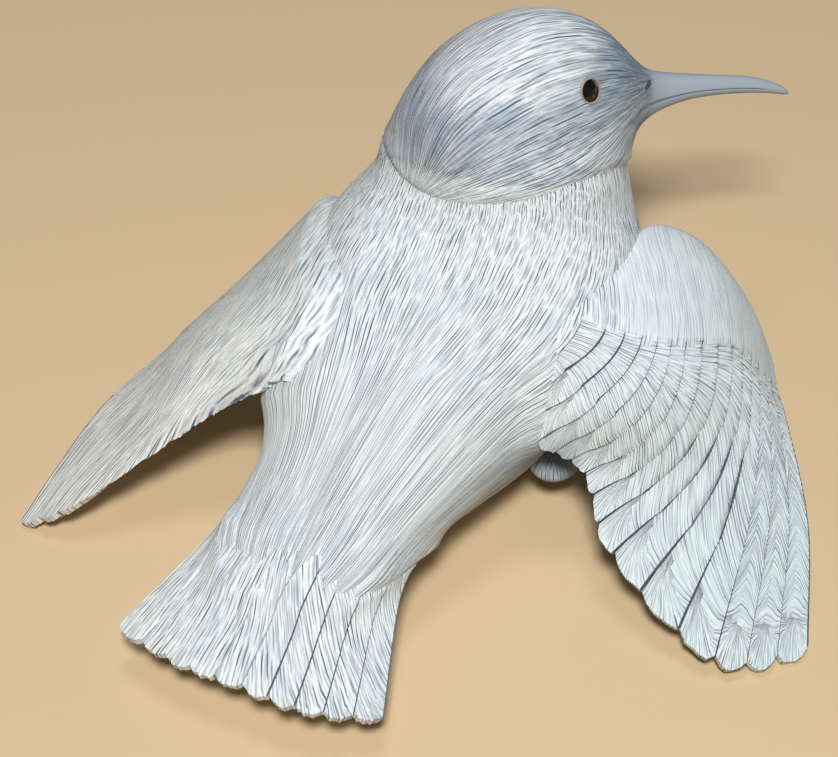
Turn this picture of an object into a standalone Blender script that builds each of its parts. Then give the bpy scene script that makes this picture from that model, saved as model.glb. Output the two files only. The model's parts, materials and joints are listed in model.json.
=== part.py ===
"""Carved bird with half-open wings, lying on its breast, with two glass eyes set in its head.

The carving is free form, so its tables are in hundredths of the body's length. In them x runs to the
bird's right, y towards its head and z up from the surface that it lies on.
"""
import bmesh
import bpy
import numpy as np
from mathutils import Matrix, Vector

# Driving sizes, in metres
BODY_LENGTH = 0.100
EYE_RADIUS = 0.0032
EYE_OPENING_RADIUS = 0.0025
EYE_CLEARANCE = 0.0003
LID_THICKNESS = 0.0009
WING_ROOT_THICKNESS = 0.011
WING_EDGE_THICKNESS = 0.0016
TAIL_ROOT_THICKNESS = 0.007
TAIL_EDGE_THICKNESS = 0.0018
FEATHER_STEP = 0.0007
COVERT_STEP = 0.0007

# Form of a wing or tail: the share of its width along which its nose is rounded, the share of its span
# along which its outer edge thins, how fast its thickness falls down the feathers, the share of it that
# is lost towards the outer edge, where the feather ends start to round off, and how square they are
NOSE_SHARE = 0.16
OUTER_SHARE = 0.06
THINNING = 1.5
OUTER_LOSS = 0.75
TIP_START = 0.85
TIP_SQUARENESS = 2.5

# Counts
WING_FEATHERS = 15
TAIL_FEATHERS = 10
BODY_RINGS = 26
BODY_SIDES = 36
HEAD_RINGS = 34
HEAD_SIDES = 28
EYE_SEGMENTS = 18
LID_SIDES = 6
TUFT_SEGMENTS = 14

UNIT = BODY_LENGTH / 100

# Body and neck, one row a ring: x, y, z of its centre, half width, height above and below the
# centre, the lean of the ring's plane in degrees, and how boxy its back is, where 1 is an ellipse
BODY = (
    (-10.5, -60, 17, 11, 2, 2, 0, 1),
    (-9, -49, 21, 16.5, 5.5, 7, 0, 1),
    (-6.2, -36, 25, 20.2, 12, 14, 0, 1),
    (-2.7, -18, 28, 25, 20, 22, 0, 0.92),
    (-0.5, 2, 30, 30.5, 25, 31, 4, 0.78),
    (1, 21, 34, 33.5, 27, 35.6, 12, 0.76),
    (2, 36, 42, 33.5, 27, 34, 26, 0.82),
    (1.8, 44, 53, 30, 23.5, 26, 42, 0.92),
    (2.4, 47, 58.5, 26.8, 22, 19, 50, 1),
    (3, 50, 66, 19, 17, 12, 60, 1),
    (3, 51, 72, 8, 8, 6, 60, 1),
)

# Head and bill, one row a ring along the bill's direction: distance, height of the upper outline,
# of the widest line and of the lower outline, half width, and how boxy it is, where 1 is an ellipse
HEAD_CENTRE = (1.9, 49, 77.1)
HEAD_TURN = 52
HEAD_DIP = 12
HEAD_ROLL = 35
HEAD = (
    (-26.3, -4, -6, -8, 3, 1),
    (-25, 0, -6, -13.5, 9, 1),
    (-21.5, 6, -6, -18.5, 14.2, 1),
    (-16, 11.8, -5, -22, 17.6, 1),
    (-8, 16.6, -4, -25, 20, 1),
    (0, 19, -3, -26, 20.6, 1),
    (8, 19.2, -2, -25, 19, 1),
    (14, 17.7, -1, -21, 16.6, 1),
    (19, 15.2, 0, -16.5, 13.8, 1),
    (23.5, 11.7, 0, -12, 10.6, 1),
    (27.5, 8.2, 0, -8.2, 7.4, 1),
    (31, 5.9, 0.6, -5.6, 5.0, 0.95),
    (35, 5.1, 1, -3.4, 3.6, 0.9),
    (41.5, 4.7, 1.6, -1.3, 2.8, 0.9),
    (49, 4.4, 2, -0.2, 2.2, 0.9),
    (57, 4.0, 2, 0.2, 1.8, 0.9),
    (62.5, 2.9, 1.4, 0.1, 1.4, 0.95),
    (66, 1.5, 0.6, -0.2, 0.9, 1),
    (67.2, 0.5, 0.2, -0.1, 0.3, 1),
)
EYE_ALONG = 9.5
EYE_HEIGHT = 1.4

# Each wing, one row a line across it: its nose, the edge of the coverts, half way down the long
# feathers, and their tips. A row runs from a root inside the body, over the innermost long feather,
# to the leading edge, with three long feathers between two places
WING_RIGHT = (
    ((12, 32, 56), (24.5, 36.5, 48), (31.5, 42.5, 51), (37.5, 50.5, 52.5),
     (48, 52, 48.5), (60, 46.5, 39.5), (69, 38, 29)),
    ((12, 9, 55.5), (32, 11.5, 51), (45, 12, 51.5), (53.5, 16.5, 49.5),
     (61.5, 25.5, 44), (67, 29.5, 36), (71, 33, 27)),
    ((11, 0, 51), (28, 4, 45), (40, -1, 42.5), (52.5, -0.5, 37),
     (64, 4, 29), (75, 4, 20), (86, 11, 11)),
    ((10, -4, 46), (24, 0, 38), (29.5, -5, 31), (40, -6.5, 25),
     (51, -18.5, 16), (78, -28.5, 5), (95, -16, 2)),
)
WING_LEFT = (
    ((-12, 24, 52), (-22.5, 26.5, 50), (-32, 32.5, 48.5), (-41, 36, 44),
     (-47, 28, 39), (-53, 15.5, 32), (-60.5, 5, 25)),
    ((-10, -1, 50), (-19, -1.5, 51.5), (-28, -4.5, 50.5), (-36, -7, 47.5),
     (-45.5, -9, 42), (-54.5, -7.5, 34), (-63, -4.5, 23)),
    ((-10, -13, 46.5), (-19.5, -13, 47.5), (-27.5, -15, 46), (-36, -17.5, 41),
     (-46.5, -22, 33), (-57.5, -29, 23), (-73, -20.5, 14)),
    ((-10, -19.5, 43), (-20.5, -19.5, 42), (-28.5, -19.5, 38), (-38.5, -22, 31),
     (-49, -30, 23), (-65.5, -44.5, 11), (-79.5, -47.5, 1.5)),
)
FEATHERS_A_PLACE = 3

# Shares of the way from the nose of a wing to its feather tips, and of the way down the tail, with
# a close pair where the coverts end
DOWN_THE_WING = (0, 0.03, 0.12, 0.33, 0.35, 0.5, 0.68, 0.86, 1)
DOWN_THE_TAIL = (0, 0.2, 0.4, 0.6, 0.8, 1)

# The tail, from its left edge to its right edge: places at its root, half way down and at its end
TAIL = (
    ((-26, -29, 20), (-15.5, -35, 27), (-4, -37, 29), (5.5, -34.5, 27), (11.5, -30, 19)),
    ((-33.5, -55, 17), (-20, -55, 21.5), (-7.5, -53, 23.5), (3.5, -51, 21.5), (12.5, -46.5, 15)),
    ((-41, -73.5, 12), (-24.5, -78, 13), (-9.5, -79, 13), (6, -79.5, 13), (20, -73.5, 10)),
)

# Tufts of thigh feathers under the wings: centre and half sizes, mirrored for the left side
TUFT_CENTRE = (28.5, 7, 12)
TUFT_HALF_SIZE = (6, 7, 3.5)


def through(rows, where):
    """Read a smooth curve through evenly spaced rows; where runs from 0 to the last row's number."""
    rows = np.asarray(rows, float)
    where = np.asarray(where, float)
    slope = np.gradient(rows, axis=0)
    start = np.clip(where.astype(int), 0, len(rows) - 2)
    share = (where - start).reshape(where.shape + (1,) * (rows.ndim - 1))
    blend = share * share * (3 - 2 * share)
    leaving = share * (1 - share) ** 2
    arriving = share * share * (share - 1)
    return (rows[start] * (1 - blend) + rows[start + 1] * blend
            + slope[start] * leaving + slope[start + 1] * arriving)


def new_object(name, points, faces, collection):
    """Make a mesh object from an array of points in hundredths of the body and its faces."""
    mesh = bpy.data.meshes.new(name)
    mesh.from_pydata((points * UNIT).tolist(), [], faces)
    shape = bmesh.new()
    shape.from_mesh(mesh)
    bmesh.ops.remove_doubles(shape, verts=shape.verts, dist=UNIT / 1000)
    bmesh.ops.recalc_face_normals(shape, faces=shape.faces)
    bmesh.ops.triangulate(shape, faces=shape.faces)
    shape.to_mesh(mesh)
    shape.free()
    piece = bpy.data.objects.new(name, mesh)
    collection.objects.link(piece)
    return piece


def loft(name, rings, collection):
    """Join closed rings of points into a skin whose two ends are capped."""
    count, sides = rings.shape[:2]
    faces = []
    for ring in range(count - 1):
        for side in range(sides):
            here = ring * sides + side
            beside = ring * sides + (side + 1) % sides
            faces.append((here, beside, beside + sides, here + sides))
    faces.append(tuple(range(sides - 1, -1, -1)))
    faces.append(tuple(range((count - 1) * sides, count * sides)))
    return new_object(name, rings.reshape(-1, 3), faces, collection)


def slab(name, top, bottom, collection):
    """Close two grids of the same size, an upper and a lower skin, into one solid."""
    rows, columns = top.shape[:2]
    under = rows * columns
    faces = []
    for row in range(rows - 1):
        for column in range(columns - 1):
            a = row * columns + column
            b, c, d = a + 1, a + 1 + columns, a + columns
            faces.append((a, b, c, d))
            faces.append((under + d, under + c, under + b, under + a))
    border = [(0, column) for column in range(columns)]
    border += [(row, columns - 1) for row in range(1, rows)]
    border += [(rows - 1, column) for column in range(columns - 2, -1, -1)]
    border += [(row, 0) for row in range(rows - 2, 0, -1)]
    edge = [row * columns + column for row, column in border]
    for a, b in zip(edge, edge[1:] + edge[:1]):
        faces.append((a, under + a, under + b, b))
    points = np.concatenate([top.reshape(-1, 3), bottom.reshape(-1, 3)])
    return new_object(name, points, faces, collection)


def boxed(value, power):
    """Pull a cosine or sine outwards, so that an ellipse becomes boxier as the power falls below 1."""
    return np.sign(value) * np.abs(value) ** power


def body_rings():
    """Rings of the body and neck, each an ellipse with its own upper and lower height."""
    x, y, z, half_width, up, down, lean, boxy = through(BODY, np.linspace(0, len(BODY) - 1, BODY_RINGS)).T
    turn = np.linspace(0, 2 * np.pi, BODY_SIDES, endpoint=False)
    boxy = np.where(np.sin(turn) > 0, boxy[:, None], 1)
    side = boxed(np.cos(turn), boxy)
    rise = boxed(np.sin(turn), boxy)
    lean = np.radians(lean)[:, None]
    height = np.where(rise > 0, up[:, None], down[:, None]) * rise
    rings = np.stack([
        x[:, None] + half_width[:, None] * side,
        y[:, None] - height * np.sin(lean),
        z[:, None] + height * np.cos(lean),
    ], axis=-1)
    return rings


def head_axes():
    """The bill's direction, the head's upward direction, and its own right side, as unit vectors."""
    turn = np.radians(HEAD_TURN)
    dip = np.radians(HEAD_DIP)
    along = np.array([np.sin(turn) * np.cos(dip), np.cos(turn) * np.cos(dip), -np.sin(dip)])
    level_right = np.array([np.cos(turn), -np.sin(turn), 0])
    roll = np.radians(HEAD_ROLL)
    upright = np.cross(level_right, along)
    up = upright * np.cos(roll) - level_right * np.sin(roll)
    right = np.cross(along, up)
    return along, up, right


def head_rings():
    """Rings of the head and bill, from the back of the head to the tip of the bill."""
    where = np.linspace(0, len(HEAD) - 1, HEAD_RINGS)
    distance, top, widest, low, half_width, boxy = through(HEAD, where).T
    turn = np.linspace(0, 2 * np.pi, HEAD_SIDES, endpoint=False)
    side = boxed(np.cos(turn), boxy[:, None])
    rise = boxed(np.sin(turn), boxy[:, None])
    height = np.where(rise > 0, (top - widest)[:, None], (widest - low)[:, None]) * rise
    along, up, right = head_axes()
    return (np.array(HEAD_CENTRE, float)
            + distance[:, None, None] * along
            + (widest[:, None] + height)[..., None] * up
            + (half_width[:, None] * side)[..., None] * right)


def eye_place(hand):
    """Centre of an eye and the direction that it looks in; hand is 1 for the right and -1 for the left."""
    along, up, right = head_axes()
    distance, top, widest, low, half_width, boxy = np.array(HEAD, float).T
    half = np.interp(EYE_ALONG, distance, half_width)
    slope = np.gradient(half_width, distance)
    tilt = np.interp(EYE_ALONG, distance, slope)
    out = right * hand - along * tilt
    out = out / np.linalg.norm(out)
    sunk = np.sqrt((EYE_RADIUS + EYE_CLEARANCE) ** 2 - EYE_OPENING_RADIUS ** 2) / UNIT
    skin = np.array(HEAD_CENTRE) + along * EYE_ALONG + up * EYE_HEIGHT + right * hand * half
    return skin - out * sunk, out, skin


def feather_columns(feathers, root_feathers):
    """Places across a row of feathers, in feathers, with a close pair at each edge between two.

    Places below zero lie on the plain stretch between the first feather and the body.
    """
    inside = np.array([0, 0.3, 0.65, 0.94])
    columns = (np.arange(feathers)[:, None] + inside).ravel()
    plain = np.arange(-root_feathers, 0, 1.0)
    return np.concatenate([plain, columns, [feathers]])


def feathered_sheet(table, feathers, root_feathers, along, root, edge, tip_length, covert_row,
                    covert_step):
    """Upper and lower skins of a wing or tail whose long feathers overlap like tiles.

    Across the sheet each feather climbs from its inner edge to its outer edge by one step, and its
    end is rounded. Along the sheet the thickness falls from root to edge, and the front is round.
    """
    columns = feather_columns(feathers, root_feathers)
    across = np.clip(columns / feathers, 0, 1)
    table = np.asarray(table, float)
    station = (columns + root_feathers) / (feathers + root_feathers) * (table.shape[1] - 1)
    guides = through(table.transpose(1, 0, 2), station)
    last = table.shape[0] - 1
    along = np.array(along)
    surface = through(guides.transpose(1, 0, 2), along * last)
    lengthwise = np.gradient(surface, axis=0)
    crosswise = np.gradient(surface, station, axis=1)
    normal = np.cross(crosswise, lengthwise)
    normal = normal / np.linalg.norm(normal, axis=2, keepdims=True)
    normal = normal * np.sign(normal[..., 2:3].mean())
    place = columns - np.floor(columns)
    place[columns < 0] = 0
    place[-1] = 1
    bare = np.clip(along * last - covert_row, 0, 1)[:, None]
    climb = FEATHER_STEP / UNIT * place * np.minimum(1, bare * 4)
    coverts = covert_step / UNIT * np.clip(1 - bare * 12, 0, 1)
    nose = np.clip(along / NOSE_SHARE, 0, 1)
    rounding = np.sqrt(nose * (2 - nose))[:, None]
    outer = np.sqrt(np.clip((1 - across) / OUTER_SHARE, 0, 1))
    fall = (1 - along[:, None]) ** THINNING * (1 - OUTER_LOSS * across ** 2)
    full = (edge + (root - edge) * fall) / UNIT
    thick = full * rounding
    top = surface + normal * (climb + coverts - (full - thick) / 2)[..., None]
    lower = thick * np.maximum(outer, edge / UNIT / full)
    bottom = surface - normal * ((full - thick) / 2 + lower)[..., None]
    ends = 1 - np.abs(2 * place - 1) ** TIP_SQUARENESS
    reach = lengthwise / np.linalg.norm(lengthwise, axis=2, keepdims=True)
    taper = np.clip((along - TIP_START) / (1 - TIP_START), 0, 1)[:, None, None]
    growth = reach * (tip_length(across) * ends)[None, :, None] * taper
    top = top + growth
    bottom = bottom + growth
    top[..., 2] = np.maximum(top[..., 2], edge / UNIT)
    bottom[..., 2] = np.maximum(bottom[..., 2], 0)
    return top, bottom


def wing_tips(across):
    """How far the rounded feather ends stand out, longest on the outer feathers."""
    return 1.0 + 2.5 * across ** 3


def tail_tips(across):
    """How far the rounded ends of the tail feathers stand out."""
    return 1.6 + 0 * across


def material(name, colour, roughness):
    """A plain finish for one piece."""
    finish = bpy.data.materials.new(name)
    finish.use_nodes = True
    shader = finish.node_tree.nodes["Principled BSDF"]
    shader.inputs["Base Color"].default_value = (*colour, 1)
    shader.inputs["Roughness"].default_value = roughness
    shader.inputs["Metallic"].default_value = 0
    return finish


def new_collection(name):
    """A collection linked to the scene."""
    collection = bpy.data.collections.new(name)
    bpy.context.scene.collection.children.link(collection)
    return collection


def join_or_cut(piece, tool, operation):
    """Add a Boolean with a helper, which stays out of the finished model."""
    tool.hide_render = True
    tool.display_type = "WIRE"
    step = piece.modifiers.new(operation.title() + " " + tool.name, "BOOLEAN")
    step.operation = operation
    step.solver = "EXACT"
    step.object = tool


def ball(name, centre, half_size, segments, collection):
    """A sphere or ellipsoid about a point in hundredths of the body."""
    mesh = bpy.data.meshes.new(name)
    shape = bmesh.new()
    bmesh.ops.create_uvsphere(shape, u_segments=segments, v_segments=segments // 2, radius=1)
    place = Matrix.Translation(Vector(centre) * UNIT) @ Matrix.Diagonal((*half_size, 1))
    bmesh.ops.transform(shape, matrix=place, verts=shape.verts)
    shape.to_mesh(mesh)
    shape.free()
    piece = bpy.data.objects.new(name, mesh)
    collection.objects.link(piece)
    return piece


def lid_ring(name, centre, out, collection):
    """The raised ring of the eyelids, a torus round the opening of the socket."""
    bpy.ops.mesh.primitive_torus_add(
        major_segments=EYE_SEGMENTS, minor_segments=LID_SIDES,
        major_radius=EYE_OPENING_RADIUS + LID_THICKNESS / 3, minor_radius=LID_THICKNESS / 2)
    ring = bpy.context.object
    ring.name = name
    turn = Vector(out).to_track_quat("Z", "Y").to_matrix().to_4x4()
    ring.data.transform(Matrix.Translation(Vector(centre) * UNIT) @ turn)
    for old in list(ring.users_collection):
        old.objects.unlink(ring)
    collection.objects.link(ring)
    return ring


def main():
    for old in list(bpy.data.objects):
        bpy.data.objects.remove(old, do_unlink=True)
    parts = new_collection("carved bird")
    helpers = new_collection("cutters")
    wood = material("primed wood", (0.62, 0.70, 0.78), 0.7)
    glass = material("black glass", (0.01, 0.01, 0.012), 0.08)

    rings = body_rings()
    rings[..., 2] = np.maximum(rings[..., 2], 0)
    bird = loft("carved_bird", rings, parts)
    bird.data.materials.append(wood)
    head = loft("head", head_rings(), helpers)
    join_or_cut(bird, head, "UNION")
    for name, table in (("wing_right", WING_RIGHT), ("wing_left", WING_LEFT)):
        skins = feathered_sheet(table, WING_FEATHERS, FEATHERS_A_PLACE, DOWN_THE_WING, WING_ROOT_THICKNESS,
                                WING_EDGE_THICKNESS, wing_tips, 1, COVERT_STEP)
        join_or_cut(bird, slab(name, *skins, helpers), "UNION")
    skins = feathered_sheet(TAIL, TAIL_FEATHERS, 0, DOWN_THE_TAIL, TAIL_ROOT_THICKNESS,
                            TAIL_EDGE_THICKNESS, tail_tips, 0.7, 0)
    join_or_cut(bird, slab("tail", *skins, helpers), "UNION")

    for side, hand in (("right", 1), ("left", -1)):
        tuft_centre = (TUFT_CENTRE[0] * hand, TUFT_CENTRE[1], TUFT_CENTRE[2])
        tuft_size = [half * UNIT for half in TUFT_HALF_SIZE]
        tuft = ball("tuft_" + side, tuft_centre, tuft_size, TUFT_SEGMENTS, helpers)
        join_or_cut(bird, tuft, "UNION")
        centre, out, skin = eye_place(hand)
        lid = lid_ring("lid_" + side, skin, out, helpers)
        join_or_cut(bird, lid, "UNION")
        hole = [EYE_RADIUS + EYE_CLEARANCE] * 3
        socket = ball("socket_" + side, centre, hole, EYE_SEGMENTS, helpers)
        join_or_cut(bird, socket, "DIFFERENCE")
        eye = ball("glass_eye_" + side, centre, [EYE_RADIUS] * 3, EYE_SEGMENTS, parts)
        eye.data.materials.append(glass)
        eye.data.shade_smooth()

    bird.data.shade_smooth()
    bpy.context.view_layer.update()
    graph = bpy.context.evaluated_depsgraph_get()
    shell = bird.evaluated_get(graph).to_mesh()
    corners = np.array([vertex.co for vertex in shell.vertices])
    low = corners.min(axis=0)
    high = corners.max(axis=0)
    shift = Vector((-(low[0] + high[0]) / 2, -(low[1] + high[1]) / 2, -low[2]))
    for piece in list(parts.objects) + list(helpers.objects):
        piece.data.transform(Matrix.Translation(shift))
    bpy.context.view_layer.update()


main()
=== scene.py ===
# %% [markdown]
# # A carved bird with half-open wings
# This script dresses a bird that was carved from one block of wood and primed in a pale blue-grey, with
# darker blue left in every stroke of the knife. It lies on its breast with drooping wings and a fanned
# tail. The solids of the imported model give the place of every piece, so they are loaded first.

# %% Load the frame
import json

import bpy
import numpy as np
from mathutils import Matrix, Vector

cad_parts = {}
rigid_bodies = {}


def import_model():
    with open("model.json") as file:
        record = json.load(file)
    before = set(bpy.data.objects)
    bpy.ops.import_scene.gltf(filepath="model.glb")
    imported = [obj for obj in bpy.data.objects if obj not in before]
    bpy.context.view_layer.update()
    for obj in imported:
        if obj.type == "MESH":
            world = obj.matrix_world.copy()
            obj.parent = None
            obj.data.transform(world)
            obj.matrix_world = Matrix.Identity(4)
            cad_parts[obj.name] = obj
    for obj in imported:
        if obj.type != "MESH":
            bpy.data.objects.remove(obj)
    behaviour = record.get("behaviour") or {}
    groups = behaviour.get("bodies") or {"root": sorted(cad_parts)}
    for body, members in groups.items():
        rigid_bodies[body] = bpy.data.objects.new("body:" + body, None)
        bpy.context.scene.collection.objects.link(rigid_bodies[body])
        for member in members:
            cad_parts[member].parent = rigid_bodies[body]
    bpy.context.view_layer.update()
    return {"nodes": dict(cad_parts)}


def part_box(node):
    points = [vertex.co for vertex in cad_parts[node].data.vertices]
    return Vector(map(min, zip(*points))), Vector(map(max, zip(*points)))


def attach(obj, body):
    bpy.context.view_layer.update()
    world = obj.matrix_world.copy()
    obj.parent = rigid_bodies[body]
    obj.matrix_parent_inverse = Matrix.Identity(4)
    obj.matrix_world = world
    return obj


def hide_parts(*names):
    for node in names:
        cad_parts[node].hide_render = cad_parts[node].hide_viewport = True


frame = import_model()

# %% [markdown]
# ## Reading a form from a table
# The carving is free form, so its form is kept as tables of places in millimetres, as a carver keeps a
# few templates. A smooth curve is drawn through the rows of a table. This is the same curve that the
# solids use, read more finely. x runs to the bird's right, y towards its head and z up.

# %% Smooth curves through tables
def through(rows, where):
    """Read a smooth curve through evenly spaced rows; where runs from 0 to the last row's number.

    Between two rows it is a cubic whose slopes at the rows are half the difference of their neighbours.
    """
    rows = np.asarray(rows, float)
    where = np.asarray(where, float)
    slope = np.gradient(rows, axis=0)
    start = np.clip(where.astype(int), 0, len(rows) - 2)
    share = (where - start).reshape(where.shape + (1,) * (rows.ndim - 1))
    blend = share * share * (3 - 2 * share)
    leaving = share * (1 - share) ** 2
    arriving = share * share * (share - 1)
    return (rows[start] * (1 - blend) + rows[start + 1] * blend
            + slope[start] * leaving + slope[start + 1] * arriving)


def boxed(value, power):
    """The sign of a cosine or sine times its size to a power, which makes a circle boxier below 1."""
    return np.sign(value) * np.abs(value) ** power


def smooth_step(value, start, end):
    """0 before start, 1 after end, and a smooth rise of 3t^2 - 2t^3 between them."""
    share = np.clip((value - start) / (end - start), 0, 1)
    return share * share * (3 - 2 * share)


def unit(vectors):
    """The vectors of a grid divided by their lengths."""
    return vectors / np.maximum(np.linalg.norm(vectors, axis=2, keepdims=True), 1e-9)


def directions(grid):
    """Unit normals of a grid of points: the cross product of its differences along rows and columns."""
    down = np.gradient(grid, axis=0)
    beside = np.gradient(grid, axis=1)
    return unit(np.cross(beside, down))


# %% [markdown]
# ## Strokes of the knife
# Feathers are cut as short V-shaped strokes that lie side by side and never quite line up. They could be
# drawn one by one, but there are thousands, so each is found by a rule: the surface is divided into
# narrow columns, each column into lengths, and each cell holds one stroke with its own place, slant and
# depth. The chance numbers come from the cell's own number, so they are the same on every run.

# %% A rule for strokes
def chance(*numbers):
    """A number from 0 to 1 for each set of whole numbers: the fraction of a large sine of their sum."""
    total = 0.0
    for place, number in enumerate(numbers):
        total = total + np.asarray(number, float) * (12.9898, 78.233, 37.719, 9.151)[place]
    value = np.sin(total) * 43758.5453
    return value - np.floor(value)


def strokes(across, along, width, length, seed):
    """Depth from 0 to 1 of staggered strokes.

    A stroke's depth falls as a bell curve away from its middle line and to nothing at its two ends.
    """
    column = np.floor(across / width)
    moved = along / length + chance(column, seed)
    row = np.floor(moved)
    down = moved - row - 0.5
    aside = (chance(column, row, seed + 1) - 0.5) * 0.5
    slant = (chance(column, row, seed + 2) - 0.5) * 0.6
    line = across / width - column - 0.5 - aside - slant * down
    depth = 0.35 + 0.65 * chance(column, row, seed + 3)
    return np.exp(-(line / 0.17) ** 2) * (1 - np.abs(2 * down) ** 4) * depth


def waves(place, size, seed):
    """A slow wander from -1 to 1 along a line, the mean of two sines of unlike lengths."""
    return (np.sin(place / size + seed) + np.sin(place / size * 1.73 + seed * 2.1)) / 2


# %% [markdown]
# ## Body
# The body is a barrel of rings from the rump to the neck. Each ring is an ellipse whose upper and lower
# halves have their own heights, and it leans back towards the neck as the back rises. The rings are close
# on the back, where the strokes show, and wide on the belly.

# %% Body form
BODY = (  # x, y, z of the centre, half width, height above, height below, lean, boxiness of the back
    (-10.5, -60, 17, 11, 2, 2, 0, 1),
    (-9, -49, 21, 16.5, 5.5, 7, 0, 1),
    (-6.2, -36, 25, 20.2, 12, 14, 0, 1),
    (-2.7, -18, 28, 25, 20, 22, 0, 0.92),
    (-0.5, 2, 30, 30.5, 25, 31, 4, 0.78),
    (1, 21, 34, 33.5, 27, 35.6, 12, 0.76),
    (2, 36, 42, 33.5, 27, 34, 26, 0.82),
    (1.8, 44, 53, 30, 23.5, 26, 42, 0.92),
    (2.4, 47, 58.5, 26.8, 22, 19, 50, 1),
    (3, 50, 66, 19, 17, 12, 60, 1),
    (3, 51, 72, 8, 8, 6, 60, 1),
)
BODY_ROWS = 92
BACK_COLUMNS = 340
BELLY_COLUMNS = 66
BACK_FROM, BACK_TO = -30, 210
WIDEST_ROW = 45


def body_surface(rows, turn):
    """Rings of the body at the given turns in degrees, and the distance along it of each ring."""
    where = np.linspace(0, len(BODY) - 1, rows)
    x, y, z, half_width, up, down, lean, boxy = through(BODY, where).T[:, :, None]
    turn = np.radians(turn)
    boxy = np.where(np.sin(turn) > 0, boxy, 1)
    side = boxed(np.cos(turn), boxy)
    rise = boxed(np.sin(turn), boxy)
    lean = np.radians(lean)
    height = np.where(rise > 0, up, down) * rise
    rings = np.stack([x + half_width * side, y - height * np.sin(lean), z + height * np.cos(lean)], -1)
    rings[..., 2] = np.maximum(rings[..., 2], 0)
    middle = np.concatenate([x, y, z], 1)
    along = np.r_[0, np.cumsum(np.linalg.norm(np.diff(middle, axis=0), axis=1))]
    return rings, along[::-1]


fine_turn = np.linspace(BACK_FROM, BACK_FROM + 360, 2001)
widest = body_surface(BODY_ROWS, fine_turn)[0][WIDEST_ROW]
girth = np.r_[0, np.cumsum(np.linalg.norm(np.diff(widest, axis=0), axis=1))]
back_girth = np.interp(BACK_TO, fine_turn, girth)
body_girth = np.r_[np.linspace(0, back_girth, BACK_COLUMNS, endpoint=False),
                   np.linspace(back_girth, girth[-1], BELLY_COLUMNS, endpoint=False)]
body_turn = np.interp(body_girth, girth, fine_turn)
body, body_along = body_surface(BODY_ROWS, body_turn)
print("body:", body.shape, "girth", girth[-1].round(1), "mm")

# %% [markdown]
# ## Head and bill
# The head and the bill are one run of rings along the bill's own direction, which turns to the bird's
# right, dips a little and rolls, so that one eye looks up. Towards the tip the rings shrink to the slim,
# gently curved bill.

# %% Head form
HEAD_CENTRE = np.array((1.9, 49, 77.1))
HEAD_TURN, HEAD_DIP, HEAD_ROLL = np.radians((52, 12, 35))
HEAD = (  # distance, heights of the upper outline, widest line and lower outline, half width, boxiness
    (-26.3, -4, -6, -8, 3, 1),
    (-25, 0, -6, -13.5, 9, 1),
    (-21.5, 6, -6, -18.5, 14.2, 1),
    (-16, 11.8, -5, -22, 17.6, 1),
    (-8, 16.6, -4, -25, 20, 1),
    (0, 19, -3, -26, 20.6, 1),
    (8, 19.2, -2, -25, 19, 1),
    (14, 17.7, -1, -21, 16.6, 1),
    (19, 15.2, 0, -16.5, 13.8, 1),
    (23.5, 11.7, 0, -12, 10.6, 1),
    (27.5, 8.2, 0, -8.2, 7.4, 1),
    (31, 5.9, 0.6, -5.6, 5.0, 0.95),
    (35, 5.1, 1, -3.4, 3.6, 0.9),
    (41.5, 4.7, 1.6, -1.3, 2.8, 0.9),
    (49, 4.4, 2, -0.2, 2.2, 0.9),
    (57, 4.0, 2, 0.2, 1.8, 0.9),
    (62.5, 2.9, 1.4, 0.1, 1.4, 0.95),
    (66, 1.5, 0.6, -0.2, 0.9, 1),
    (67.2, 0.5, 0.2, -0.1, 0.3, 1),
)
HEAD_ROWS = 130
HEAD_COLUMNS = 156


def head_axes():
    """The bill's direction, the head's upward direction and its right side, as unit vectors."""
    along = np.array([np.sin(HEAD_TURN) * np.cos(HEAD_DIP), np.cos(HEAD_TURN) * np.cos(HEAD_DIP),
                      -np.sin(HEAD_DIP)])
    level = np.array([np.cos(HEAD_TURN), -np.sin(HEAD_TURN), 0])
    up = np.cross(level, along) * np.cos(HEAD_ROLL) - level * np.sin(HEAD_ROLL)
    return along, up, np.cross(along, up)


HEAD_ALONG, HEAD_UP, HEAD_RIGHT = head_axes()


def head_surface(rows, turn):
    """Rings of the head and bill at the given turns in degrees, and each ring's distance."""
    where = np.linspace(0, len(HEAD) - 1, rows)
    distance, top, widest, low, half_width, power = through(HEAD, where).T[:, :, None]
    turn = np.radians(turn)
    side = boxed(np.cos(turn), power)
    rise = boxed(np.sin(turn), power)
    height = np.where(rise > 0, top - widest, widest - low) * rise
    rings = (HEAD_CENTRE + distance[..., None] * HEAD_ALONG
             + (widest + height)[..., None] * HEAD_UP + (half_width * side)[..., None] * HEAD_RIGHT)
    return rings, distance[:, 0]


head_turn = np.linspace(-90, 270, HEAD_COLUMNS, endpoint=False)
head, head_distance = head_surface(HEAD_ROWS, head_turn)
print("head:", head.shape)

# %% [markdown]
# ## Wings and tail
# A wing is a sheet between an upper and a lower skin. Its table gives four lines across it: its nose, the
# edge of the small covert feathers, half way down the long feathers, and their tips. Each long feather
# climbs a little from its inner edge to its outer edge and then drops to the next, so that the row
# overlaps like tiles. The lines of the grid lean across each feather, so that they run along its barbs,
# and every third line is cut in.

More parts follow.
